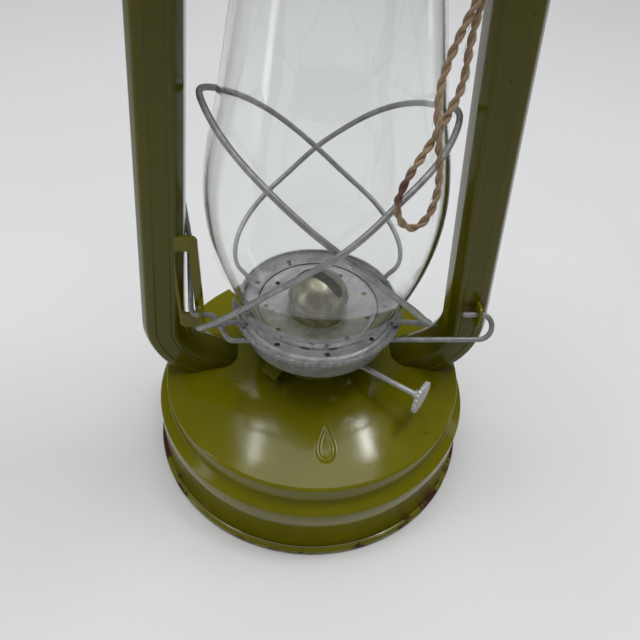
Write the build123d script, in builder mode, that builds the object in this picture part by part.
from build123d import *
import math
import os

# Tubular kerosene lantern, in millimetres. +Z is up, the front faces -Y, and the origin is on the
# floor under the middle of the round tank. Side tubes, pivots and bail lie to the left (-X) and right.

os.makedirs("parts", exist_ok=True)

# Tank
base_r = 72.5
flange_h = 3.5
lower_r = 70.5
upper_r = 66.4
dome_r = 65.3
shoulder_z = 41.8
dome_top = 54.0
step_z = (29.4, 31.8)
sheet = 0.9

# Burner
collar_bore = 17.0
collar_top = 55.2
burner_r = 15.8
burner_top = 76.4
cone_r = 12.3
cone_top = 95.0
wick_turn = -37.0
wick_w = 20.0
wick_t = 2.2
shaft_r = 1.2
shaft_z = 62.5
shaft_side = 5.4
wheel_r = 4.2
knob_reach = 54.0
knob_r = 7.0
running = 0.06

# Globe and the plate that carries it
plate_z = 79.7
plate_rim_r = 35.6
skirt_r = 31.0
skirt_low = 68.0
plate_hole = 13.0
inner_holes_r = 22.0
outer_holes_r = 29.4
glass = 1.5
globe_top = 228.0
guard_r = 1.1
globe_profile = [(26.6, plate_z), (33.6, 90), (40.2, 107), (43.5, 129), (42.0, 149), (37.0, 171),
                 (31.8, 198), (28.2, 216), (27.2, globe_top)]

# Air tubes, crown and chimney
tube_w = 16.8
tube_d = 18.0
tube_x = 63.6
tube_lean = 0.094
crown_r = 31.0
crown_z = (261.0, 283.0)
chimney_r = 22.0
hood_r = 36.0
hood_z = 304.0
hood_rise = 18.0
spring_r = 25.2
spring_z = (231.3, 270.3)
spring_pitch = 7.2

# Lift wire
lift_r = 1.1
pivot = (-12.0, 84.4)
crank = (-17.5, 75.4)

# Bail
bail_r = 1.3
bail_pivot_z = 268.0
bail_half = 61.5
bail_reach = 108.0
bail_lean = 38.0

# Filler
filler_y = 43.0
filler_r = 9.0

# Twine
twine_r = 1.0


def dome_z(radius, drop=0.0):
    """Height of the tank's domed top at a radius, or of a surface a little under it."""
    rise = dome_top - shoulder_z
    ball = (dome_r**2 + rise**2) / (2 * rise)
    return dome_top - drop - (ball - math.sqrt(ball**2 - radius**2))


def turned(*points):
    """Half section of a turned or spun piece, from (radius, height) points."""
    with BuildSketch(Plane.XZ) as section:
        with BuildLine():
            Polyline(*points, close=True)
        make_face()
    return section.sketch


def bend_radii(points, share=0.45, most=1000.0):
    """The largest arc that each corner of a bent wire's route has room for."""
    corners = [Vector(*p) for p in points]
    radii = []
    for before, corner, after in zip(corners, corners[1:], corners[2:]):
        turn = math.radians((corner - before).get_angle(after - corner))
        run = min((corner - before).length, (after - corner).length)
        radii.append(min(share * run / math.tan(turn / 2), most))
    return radii


def wire(points, radius, radii=None):
    """Round wire along straight runs joined by arcs."""
    with BuildPart() as bent:
        with BuildLine() as route:
            FilletPolyline(*points, radius=radii or bend_radii(points))
        with BuildSketch(Plane(origin=route.line @ 0, z_dir=route.line % 0)):
            Circle(radius)
        sweep()
    return bent.part


def tube_axis(side):
    """The bent centre line of an air tube, from inside the dome to inside the crown."""
    def lean(z):
        return tube_x - tube_lean * (z - 80)

    crown_mid = sum(crown_z) / 2
    points = [(30.0, 0, 39.3), (lean(56.2), 0, 56.2), (lean(crown_mid), 0, crown_mid),
              (26.0, 0, crown_mid)]
    with BuildLine() as axis:
        FilletPolyline(*[(side * x, y, z) for x, y, z in points], radius=[24.0, 13.5])
    return axis.line


def tube_body(side, inset=0.0):
    """The solid inside an air tube's outer skin, or inside its bore."""
    axis = tube_axis(side)
    start = Plane(origin=axis @ 0, x_dir=(0, 1, 0), z_dir=axis % 0)
    with BuildPart() as body:
        with BuildSketch(start):
            RectangleRounded(tube_d - 2 * inset, tube_w - 2 * inset, 6.0 - inset)
        sweep(path=axis)
    return body.part


def cap_z(radius, drop=0.0):
    """Height of the hood's spherical cap at a radius, or of a surface a little under it."""
    ball = (hood_r**2 + hood_rise**2) / (2 * hood_rise)
    return hood_z + hood_rise - drop - (ball - math.sqrt(ball**2 - radius**2))


def globe_radius(z):
    """Outer radius of the globe at a height."""
    for (r0, z0), (r1, z1) in zip(globe_profile, globe_profile[1:]):
        if z0 <= z <= z1:
            return r0 + (r1 - r0) * (z - z0) / (z1 - z0)


def beside_globe(turn, z, gap):
    """A point on a wire that passes the glass at a gap, at an angle round from +X."""
    reach = globe_radius(z) + gap + guard_r
    return (reach * math.cos(math.radians(turn)), reach * math.sin(math.radians(turn)), z)


tank_volume = revolve(
    turned((0, -1), (base_r, -1), (lower_r, flange_h), (lower_r, step_z[0]), (upper_r, step_z[1]),
           (upper_r, shoulder_z - 0.8), (dome_r, shoulder_z), (50, dome_z(50)), (35, dome_z(35)),
           (20, dome_z(20)), (0, dome_top)),
    Axis.Z,
)
crown_volume = revolve(
    turned((0, crown_z[0]), (crown_r, crown_z[0]), (crown_r, crown_z[1]), (0, crown_z[1])),
    Axis.Z,
)
tube_volume = {side: tube_body(side) for side in (-1, 1)}

# ---- Tank ----

with BuildPart() as tank_bottom:
    revolve(
        turned((0, 4.2), (68.4, 4.2), (68.4, 0.8), (69.2, 0), (71.7, 0), (base_r, 0.8), (base_r, 2.7),
               (71.7, flange_h), (69.3, flange_h), (69.3, 5.0), (0, 5.0)),
        Axis.Z,
    )
tank_bottom.part.label = "tank_bottom"
export_step(tank_bottom.part, "parts/tank_bottom.step")

with BuildPart() as tank_shell:
    with BuildSketch(Plane.XZ):
        with BuildLine():
            Polyline((lower_r - sheet, flange_h), (lower_r, flange_h), (lower_r, step_z[0]),
                     (upper_r, step_z[1]), (upper_r, shoulder_z - 0.8), (dome_r, shoulder_z))
            ThreePointArc((dome_r, shoulder_z), (42, dome_z(42)), (collar_bore, dome_z(collar_bore)))
            Line((collar_bore, dome_z(collar_bore)), (collar_bore, dome_z(collar_bore, sheet)))
            ThreePointArc((collar_bore, dome_z(collar_bore, sheet)), (42, dome_z(42, sheet)),
                          (dome_r - 0.3, dome_z(dome_r - 0.3, sheet)))
            Polyline((dome_r - 0.3, dome_z(dome_r - 0.3, sheet)), (upper_r - sheet, shoulder_z - 1.6),
                     (upper_r - sheet, step_z[1] - 0.4), (lower_r - sheet, step_z[0] - 0.4),
                     (lower_r - sheet, flange_h))
        make_face()
    revolve(axis=Axis.Z)
    with Locations((0, filler_y, 48)):
        Cylinder(filler_r, 12, mode=Mode.SUBTRACT)
tank_shell.part.label = "tank_shell"
export_step(tank_shell.part, "parts/tank_shell.step")

with BuildPart() as burner_collar:
    revolve(
        turned((collar_bore - 1, 50.5), (collar_bore, 50.5), (collar_bore, dome_z(collar_bore) + 0.05),
               (20.4, dome_z(collar_bore) + 0.05), (20.4, 54.2), (19.4, collar_top),
               (collar_bore - 1, collar_top)),
        Axis.Z,
    )
burner_collar.part.label = "burner_collar"
export_step(burner_collar.part, "parts/burner_collar.step")

with BuildPart() as filler_neck:
    with BuildSketch(Plane.XY.offset(45.5)):
        with Locations((0, filler_y)):
            Circle(filler_r)
            Circle(filler_r - 0.9, mode=Mode.SUBTRACT)
    extrude(amount=9.5)
filler_neck.part.label = "filler_neck"
export_step(filler_neck.part, "parts/filler_neck.step")

# ---- Filler cap: the cap turns about the neck, and climbs with its gasket ----

with BuildPart() as filler_gasket:
    with BuildSketch(Plane.XY.offset(55.3)):
        with Locations((0, filler_y)):
            Circle(filler_r)
            Circle(filler_r - 3, mode=Mode.SUBTRACT)
    extrude(amount=1.0)
filler_gasket.part.label = "filler_gasket"
export_step(filler_gasket.part, "parts/filler_gasket.step")

with BuildPart() as filler_cap:
    with BuildSketch(Plane.XY.offset(52.0)):
        with Locations((0, filler_y)):
            Circle(11.2)
            with PolarLocations(11.4, 24):
                Circle(0.55, mode=Mode.SUBTRACT)
    extrude(amount=5.6)
    fillet(faces().sort_by(Axis.Z)[-1].edges(), 0.2)
    with BuildSketch(Plane.XY.offset(52.0)):
        with Locations((0, filler_y)):
            Circle(filler_r + 0.3)
    extrude(amount=4.6, mode=Mode.SUBTRACT)
filler_cap.part.label = "filler_cap"
export_step(filler_cap.part, "parts/filler_cap.step")

# ---- Burner ----

wick_x = Vector(math.cos(math.radians(wick_turn)), math.sin(math.radians(wick_turn)), 0)
wick_y = Vector(-wick_x.Y, wick_x.X, 0)
wick_plane = Plane(origin=(0, 0, 0), x_dir=wick_x, z_dir=(0, 0, 1))
shaft_mid = Vector(0, 0, shaft_z) - wick_y * shaft_side


def shaft_plane(reach):
    """Plane square to the wick shaft, at a distance along it from the burner's middle."""
    return Plane(origin=shaft_mid + wick_x * reach, x_dir=(0, 0, 1), z_dir=wick_x)


with BuildPart() as burner_base:
    revolve(
        turned((0, collar_top), (19.6, collar_top), (19.6, 56.2), (burner_r, 56.2), (burner_r, burner_top),
               (cone_r + running, burner_top), (cone_r + running, burner_top - 0.8),
               (burner_r - 0.8, burner_top - 0.8), (burner_r - 0.8, 56.2), (0, 56.2)),
        Axis.Z,
    )
    with BuildSketch(wick_plane.offset(50)):
        Rectangle(wick_w + 2.4, wick_t + 2.2)
    extrude(amount=10, mode=Mode.SUBTRACT)
    with PolarLocations(burner_r, 14):
        with Locations((0, 0, 71)):
            Cylinder(1.2, 6, rotation=(0, 90, 0), mode=Mode.SUBTRACT)
    with BuildSketch(shaft_plane(8)):
        Circle(2.5)
    extrude(amount=12, mode=Mode.SUBTRACT)
burner_base.part.label = "burner_base"
export_step(burner_base.part, "parts/burner_base.step")

with BuildPart() as wick_tube:
    with BuildSketch(wick_plane.offset(50)):
        RectangleRounded(wick_w + 2.4, wick_t + 2.2, 1.2)
        RectangleRounded(wick_w + 1.4, wick_t + 1.2, 0.7, mode=Mode.SUBTRACT)
    extrude(amount=36)
    for reach in (-4.0, 4.0):
        with BuildSketch(shaft_plane(reach - 1.4)):
            Circle(wheel_r + 0.6)
        extrude(amount=2.8, mode=Mode.SUBTRACT)
wick_tube.part.label = "wick_tube"
export_step(wick_tube.part, "parts/wick_tube.step")

with BuildPart() as burner_cone:
    with BuildSketch(Plane.XZ):
        with BuildLine():
            Line((cone_r, burner_top - 1.6), (cone_r, 84.5))
            ThreePointArc((cone_r, 84.5), (8.9, 91.9), (0, cone_top))
            Line((0, cone_top), (0, cone_top - 0.7))
            ThreePointArc((0, cone_top - 0.7), (8.4, 91.4), (cone_r - 0.7, 84.5))
            Line((cone_r - 0.7, 84.5), (cone_r - 0.7, burner_top - 1.6))
            Line((cone_r - 0.7, burner_top - 1.6), (cone_r, burner_top - 1.6))
        make_face()
    revolve(axis=Axis.Z)
    with BuildSketch(wick_plane.offset(88)):
        SlotOverall(21.5, 4.8)
    extrude(amount=10, mode=Mode.SUBTRACT)
burner_cone.part.label = "burner_cone"
export_step(burner_cone.part, "parts/burner_cone.step")

with BuildPart() as shaft_sleeve:
    with BuildSketch(shaft_plane(13.2)):
        Circle(2.5)
        Circle(shaft_r + running, mode=Mode.SUBTRACT)
    extrude(amount=8.5)
shaft_sleeve.part.label = "shaft_sleeve"
export_step(shaft_sleeve.part, "parts/shaft_sleeve.step")

with BuildPart() as wick:
    with BuildSketch(wick_plane.offset(18)):
        Rectangle(wick_w, wick_t)
    extrude(amount=69)
wick.part.label = "wick"
export_step(wick.part, "parts/wick.step")

with BuildPart() as wick_shaft:
    with BuildSketch(shaft_plane(-7)):
        Circle(shaft_r)
    extrude(amount=7 + knob_reach)
wick_shaft.part.label = "wick_shaft"
export_step(wick_shaft.part, "parts/wick_shaft.step")

with BuildPart() as spur_wheels:
    for reach in (-4.0, 4.0):
        with BuildSketch(shaft_plane(reach - 0.8)):
            Circle(wheel_r)
            with PolarLocations(wheel_r, 12):
                Circle(0.6, mode=Mode.SUBTRACT)
            Circle(shaft_r, mode=Mode.SUBTRACT)
        extrude(amount=1.6)
spur_wheels.part.label = "spur_wheels"
export_step(spur_wheels.part, "parts/spur_wheels.step")

with BuildPart() as wick_knob:
    with BuildSketch(shaft_plane(knob_reach)):
        Circle(knob_r)
        with PolarLocations(knob_r + 0.15, 20):
            Circle(0.55, mode=Mode.SUBTRACT)
    extrude(amount=1.3)
    with BuildSketch(shaft_plane(knob_reach - 2.2)):
        Circle(2.2)
        Circle(shaft_r, mode=Mode.SUBTRACT)
    extrude(amount=2.2)
wick_knob.part.label = "wick_knob"
export_step(wick_knob.part, "parts/wick_knob.step")

# ---- Frame: air tubes, crown, ears, bracket and lug ----

for side, name in ((-1, "left_air_tube"), (1, "right_air_tube")):
    with BuildPart() as air_tube:
        add(tube_volume[side])
        add(tube_body(side, inset=0.8), mode=Mode.SUBTRACT)
        add(tank_volume, mode=Mode.SUBTRACT)
        add(crown_volume, mode=Mode.SUBTRACT)
    air_tube.part.label = name
    export_step(air_tube.part, f"parts/{name}.step")

with BuildPart() as crown:
    low, high = crown_z
    bore = chimney_r + 0.4
    revolve(turned((bore, low), (crown_r, low), (crown_r, high), (bore, high)), Axis.Z)
    revolve(
        turned((bore + 0.8, low + 0.8), (crown_r - 0.8, low + 0.8), (crown_r - 0.8, high - 0.8),
               (bore + 0.8, high - 0.8)),
        Axis.Z,
        mode=Mode.SUBTRACT,
    )
    # The hood's spring slides up through the open underside
    mouth = spring_r + 1.6
    revolve(
        turned((bore - 1, low - 1), (mouth, low - 1), (mouth, low + 1.6), (bore - 1, low + 1.6)),
        Axis.Z,
        mode=Mode.SUBTRACT,
    )
    for side in (-1, 1):
        add(tube_body(side, inset=0.8), mode=Mode.SUBTRACT)
crown.part.label = "crown"
export_step(crown.part, "parts/crown.step")

for side, name in ((-1, "left_bail_ear"), (1, "right_bail_ear")):
    with BuildPart() as bail_ear:
        with BuildSketch(Plane.YZ.offset(side * 57.75)):
            with Locations((0, bail_pivot_z - 4)):
                RectangleRounded(12, 19, 4)
            with Locations((0, bail_pivot_z)):
                Circle(bail_r + running, mode=Mode.SUBTRACT)
        extrude(amount=0.75, both=True)
        with Locations((side * 54, 0, 255.2)):
            Box(9, 12, 1.5)
        add(tube_volume[side], mode=Mode.SUBTRACT)
    bail_ear.part.label = name
    export_step(bail_ear.part, f"parts/{name}.step")

pivot_y, pivot_z = pivot

with BuildPart() as lever_bracket:
    with BuildSketch(Plane.XZ.offset(7.4)):
        with Locations((-51.5, 97.2)):
            RectangleRounded(10.2, 45.6, 2.4)
        with Locations((-52.6, 97.6)):
            RectangleRounded(5.6, 31.6, 1.6, mode=Mode.SUBTRACT)
    extrude(amount=1.2)
    with BuildSketch(Plane.YZ.offset(-47.6)):
        with Locations((-12.6, 84.5)):
            RectangleRounded(8.4, 15.0, 2.4)
        with Locations((pivot_y, pivot_z)):
            Circle(lift_r + running, mode=Mode.SUBTRACT)
    extrude(amount=1.2)
    add(tube_volume[-1], mode=Mode.SUBTRACT)
lever_bracket.part.label = "lever_bracket"
export_step(lever_bracket.part, "parts/lever_bracket.step")

with BuildPart() as pivot_lug:
    with BuildSketch(Plane.YZ.offset(64.2)):
        with Locations((-11.6, pivot_z)):
            RectangleRounded(8.6, 10.0, 2.6)
        with Locations((pivot_y, pivot_z)):
            Circle(lift_r + running, mode=Mode.SUBTRACT)
    extrude(amount=1.2)
    add(tube_volume[1], mode=Mode.SUBTRACT)
pivot_lug.part.label = "pivot_lug"
export_step(pivot_lug.part, "parts/pivot_lug.step")

with BuildPart() as burner_clip:
    clip_plane = Plane(origin=(0, 0, 0), x_dir=(-0.72, -0.69, 0), z_dir=(-0.69, 0.72, 0))
    with BuildSketch(clip_plane.offset(-4)):
        with BuildLine():
            Polyline((20.6, 53.4), (27.0, 52.6), (29.0, 57.6), (24.0, 60.2), (23.6, 59.2), (27.6, 57.2),
                     (26.4, 53.6), (20.6, 54.2), close=True)
        make_face()
    extrude(amount=8)
burner_clip.part.label = "burner_clip"
export_step(burner_clip.part, "parts/burner_clip.step")

# ---- Lift wire ----

crank_y, crank_z = crank
lift_route = [
    (-56.0, 27.0, 148.0), (-55.0, 19.5, 134.0), (-53.2, 13.0, 121.0), (-51.2, 6.0, 109.3),
    (-51.2, pivot_y, pivot_z), (-42.5, pivot_y, pivot_z), (-36.5, crank_y, crank_z),
    (71.2, crank_y, crank_z), (71.2, pivot_y, pivot_z), (58.5, pivot_y, pivot_z),
]
lift_radii = [20.0, 16.0, 16.0, 3.0, 3.0, 3.0, 5.1, 5.1]
lift_wire = wire(lift_route, lift_r, lift_radii)
lift_wire.label = "lift_wire"
export_step(lift_wire, "parts/lift_wire.step")

# ---- Globe plate, globe and guards ----

hole_reach = 32.9
rim_hole = (hole_reach * math.cos(math.radians(24)), hole_reach * math.sin(math.radians(24)))

with BuildPart() as globe_plate:
    revolve(
        turned((plate_hole, 77.4), (17.0, 77.7), (24.5, 78.6), (28.4, plate_z), (30.6, plate_z),
               (31.6, 80.6), (32.8, 80.4), (33.6, plate_z), (34.4, plate_z), (34.4, plate_z - 0.6),
               (skirt_r, plate_z - 0.8), (skirt_r, skirt_low), (skirt_r - 0.7, skirt_low),
               (skirt_r - 0.7, plate_z - 0.7), (28.4, plate_z - 0.7), (24.5, 77.9), (17.0, 77.0),
               (plate_hole, 76.7)),
        Axis.Z,
    )
    for ring_r, start in ((inner_holes_r, 20), (outer_holes_r, 34)):
        with PolarLocations(ring_r, 9, start_angle=start):
            with Locations((0, 0, 78)):
                Cylinder(1.1, 8, mode=Mode.SUBTRACT)
    for turn in (-104, -80):
        with BuildSketch(Plane.XY.offset(74)):
            with PolarLocations(26.0, 1, start_angle=turn):
                Ellipse(1.1, 1.9)
        extrude(amount=8, mode=Mode.SUBTRACT)
    for side in (-1, 1):
        with Locations((side * 26, -20.0, crank_z - 0.4)):
            Box(16, 8.2, 3.4, mode=Mode.SUBTRACT)
    with Locations(*[(x * rim_hole[0], y * rim_hole[1], 79) for x in (-1, 1) for y in (-1, 1)]):
        Cylinder(guard_r + 0.1, 6, mode=Mode.SUBTRACT)
globe_plate.part.label = "globe_plate"
export_step(globe_plate.part, "parts/globe_plate.step")

with BuildPart() as plate_rim:
    with BuildSketch(Plane.XY.offset(78.4)):
        Circle(plate_rim_r)
        with PolarLocations(plate_rim_r + 0.2, 72):
            Circle(0.5, mode=Mode.SUBTRACT)
        Circle(34.4, mode=Mode.SUBTRACT)
    extrude(amount=2.3)
plate_rim.part.label = "plate_rim"
export_step(plate_rim.part, "parts/plate_rim.step")

with BuildPart() as globe:
    with BuildSketch(Plane.XZ):
        with BuildLine():
            Spline(*globe_profile)
            Line(globe_profile[-1], (globe_profile[-1][0] - glass, globe_top))
            Spline(*[(r - glass, z) for r, z in reversed(globe_profile)])
            Line((globe_profile[0][0] - glass, plate_z), globe_profile[0])
        make_face()
    revolve(axis=Axis.Z)
globe.part.label = "globe"
export_step(globe.part, "parts/globe.step")

guard_rows = [
    (15, 91.5, 2.0), (24, 98.5, 1.5), (42, 104.0, 1.3), (58, 109.5, 1.3), (74, 116.5, 1.3),
    (90, 126.5, 1.3), (103, 136.0, 1.3), (116, 145.0, 1.3), (130, 153.0, 1.3), (145, 160.0, 1.5),
    (160, 165.5, 2.2), (173, 169.6, 3.8), (183, 171.5, 4.4), (193, 170.4, 3.2), (206, 167.5, 1.7),
    (220, 164.5, 1.3), (234, 160.5, 1.3), (247, 155.2, 1.3), (259, 149.0, 1.3), (270, 142.2, 1.3),
    (282, 133.5, 1.3), (295, 122.5, 1.4), (307, 112.0, 3.0),
]
guard_tips = {
    1: [(34.6, -33.2, 103.0), (38.6, -30.6, 98.4), (40.4, -27.6, 94.4), (37.4, -21.6, 89.0)],
    -1: [(36.0, -33.6, 103.4), (44.6, -30.6, 95.8), (47.2, -27.2, 92.0), (41.6, -20.6, 87.4)],
}
for side, name in ((1, "left_guard_wire"), (-1, "right_guard_wire")):
    points = [(*rim_hole, 76.0), (*rim_hole, 82.4)]
    for turn, z, gap in guard_rows:
        if side == -1:
            from_crossing = min(abs(turn - 90), abs(turn - 270))
            gap += max(0.0, 2.7 - from_crossing / 9)
            sag = max(0.0, 1.0 - abs(turn - 183) / 62)
            gap -= 1.4 * sag
            z -= 5.0 * sag
        points.append(beside_globe(turn, z, gap))
    points += guard_tips[side]
    points += [(rim_hole[0], -rim_hole[1], 82.4), (rim_hole[0], -rim_hole[1], 76.0)]
    guard_wire = wire([(side * x, y, z) for x, y, z in points], guard_r)
    guard_wire.label = name
    export_step(guard_wire, f"parts/{name}.step")

with BuildPart() as globe_holder:
    revolve(
        turned(
            (23.5, globe_top), (30.2, globe_top), (30.2, 224.0),
            (31.0, 224.0), (31.0, 229.0), (23.5, 229.0),
        ),
        Axis.Z,
    )
globe_holder.part.label = "globe_holder"
export_step(globe_holder.part, "parts/globe_holder.step")

# ---- Chimney and hood: slide up on their spring, out of the crown ----

with BuildPart() as chimney_tube:
    revolve(
        turned((chimney_r - 0.8, 229.3), (29.0, 229.3), (29.0, 230.1), (chimney_r, 230.1), (chimney_r, 286.0),
               (27.0, 286.0), (27.0, 286.8), (chimney_r, 286.8), (chimney_r, 298.0),
               (chimney_r - 0.8, 298.0)),
        Axis.Z,
    )
chimney_tube.part.label = "chimney_tube"
export_step(chimney_tube.part, "parts/chimney_tube.step")

with BuildPart() as chimney_band:
    with BuildSketch(Plane.XY.offset(286.0)):
        Circle(27.8)
        Circle(27.0, mode=Mode.SUBTRACT)
    extrude(amount=cap_z(27.8, 1.0) - 286.0)
    for height in (290.5, 298.5):
        with Locations((0, 0, height)):
            with PolarLocations(27.4, 18):
                Cylinder(2.0, 4, rotation=(0, 90, 0), mode=Mode.SUBTRACT)
chimney_band.part.label = "chimney_band"
export_step(chimney_band.part, "parts/chimney_band.step")

hood_top = hood_z + hood_rise
hood_in = hood_r - sheet

with BuildPart() as hood_cap:
    with BuildSketch(Plane.XZ):
        with BuildLine():
            ThreePointArc((0, hood_top), (20, cap_z(20)), (hood_r, hood_z))
            Polyline((hood_r, hood_z), (hood_r, hood_z - 2.4), (hood_in, hood_z - 2.4),
                     (hood_in, cap_z(hood_in, sheet)))
            ThreePointArc((hood_in, cap_z(hood_in, sheet)), (20, cap_z(20, sheet)), (0, hood_top - sheet))
            Line((0, hood_top - sheet), (0, hood_top))
        make_face()
    revolve(axis=Axis.Z)
    revolve(turned((27.8, 302.0), (35.3, 302.0), (35.3, 302.8), (27.8, 302.8)), Axis.Z)
hood_cap.part.label = "hood_cap"
export_step(hood_cap.part, "parts/hood_cap.step")

with BuildPart() as ring_eye:
    with BuildSketch(Plane.YZ.offset(-1.5)):
        with Locations((0, hood_top + 1.2)):
            RectangleRounded(9, 6, 2.8)
            with Locations((0, 0.6)):
                Circle(1.0 + running, mode=Mode.SUBTRACT)
    extrude(amount=3)
    add(hood_cap.part, mode=Mode.SUBTRACT)
    split(bisect_by=Plane.XY.offset(hood_top - 0.5))
ring_eye.part.label = "ring_eye"
export_step(ring_eye.part, "parts/ring_eye.step")

ring_z = hood_top + 1.8
ring_droop = 0.235
ring_plan = [(3.0, 0), (-6.0, 0), (-11.0, -6.0), (-9.0, -15.0), (0, -19.0), (9.0, -15.0),
             (11.0, -6.0), (6.2, 0.2), (3.4, 0.1)]
ring_route = [(x, y, ring_z + ring_droop * y) for x, y in ring_plan]
lift_ring = wire(ring_route, 1.0, [4.0, 5.0, 6.0, 9.0, 6.0, 5.0, 2.0])
lift_ring.label = "lift_ring"
export_step(lift_ring, "parts/lift_ring.step")

with BuildPart() as hood_spring:
    with BuildLine() as coil:
        Helix(
            pitch=spring_pitch, height=spring_z[1] - spring_z[0],
            radius=spring_r, center=(0, 0, spring_z[0]),
        )
    with BuildSketch(Plane(origin=coil.line @ 0, z_dir=coil.line % 0)):
        Circle(0.8)
    sweep()
hood_spring.part.label = "hood_spring"
export_step(hood_spring.part, "parts/hood_spring.step")

# ---- Bail: leans back on its stops ----

lean = math.radians(bail_lean)


def on_bail(x, reach):
    """A point in the bail's own plane, at a reach from its pivots."""
    return (x, reach * math.sin(lean), bail_pivot_z - reach * math.cos(lean))


bail_route = [on_bail(-55.6, 0), on_bail(-bail_half, 0), on_bail(-bail_half, bail_reach),
              on_bail(bail_half, bail_reach), on_bail(bail_half, 0), on_bail(55.6, 0)]
bail = wire(bail_route, bail_r, [3.0, 56.0, 56.0, 3.0])
bail.label = "bail"
export_step(bail, "parts/bail.step")

# ---- Twine, tied to the right-hand tube and hanging in a long twisted loop ----

twine_route = [
    (45.5, -13.0, 249.0), (43.0, -14.5, 238.0), (38.5, -18.0, 222.0), (34.5, -22.5, 207.0),
    (32.5, -27.0, 197.0), (32.0, -31.0, 189.0), (27.5, -36.5, 181.5), (22.0, -42.0, 175.0),
    (17.2, -45.0, 168.0), (15.2, -46.0, 160.5), (17.0, -46.5, 154.5), (21.8, -46.2, 151.6),
    (26.0, -45.0, 156.0), (27.6, -43.0, 164.5), (26.2, -41.0, 174.0), (24.0, -40.8, 182.0),
    (24.5, -34.5, 189.5), (27.5, -29.5, 197.5), (33.0, -24.5, 209.0), (39.5, -20.5, 224.0),
    (44.5, -17.5, 238.0), (47.5, -15.0, 249.0),
]
twine = wire(twine_route, twine_r)
twine.label = "twine"
export_step(twine, "parts/twine.step")
twine_radii = bend_radii(twine_route)
print("twine radii", [round(r, 1) for r in twine_radii])
print("twine length", round(twine.volume / (math.pi * twine_r**2), 1))

with BuildPart() as twine_tie:
    tie_z = 250.0
    tie_x = tube_x - tube_lean * (tie_z - 80)
    with BuildSketch(Plane.XY.offset(tie_z - 2.2)):
        with Locations((tie_x, 0)):
            RectangleRounded(tube_w + 4.2, tube_d + 4.2, 7.8)
    extrude(amount=4.2)
    add(tube_volume[1], mode=Mode.SUBTRACT)
    with Locations((46.5, -13.6, tie_z)):
        Sphere(3.1)
    add(tube_volume[1], mode=Mode.SUBTRACT)
    add(twine, mode=Mode.SUBTRACT)
twine_tie.part.label = "twine_tie"
export_step(twine_tie.part, "parts/twine_tie.step")
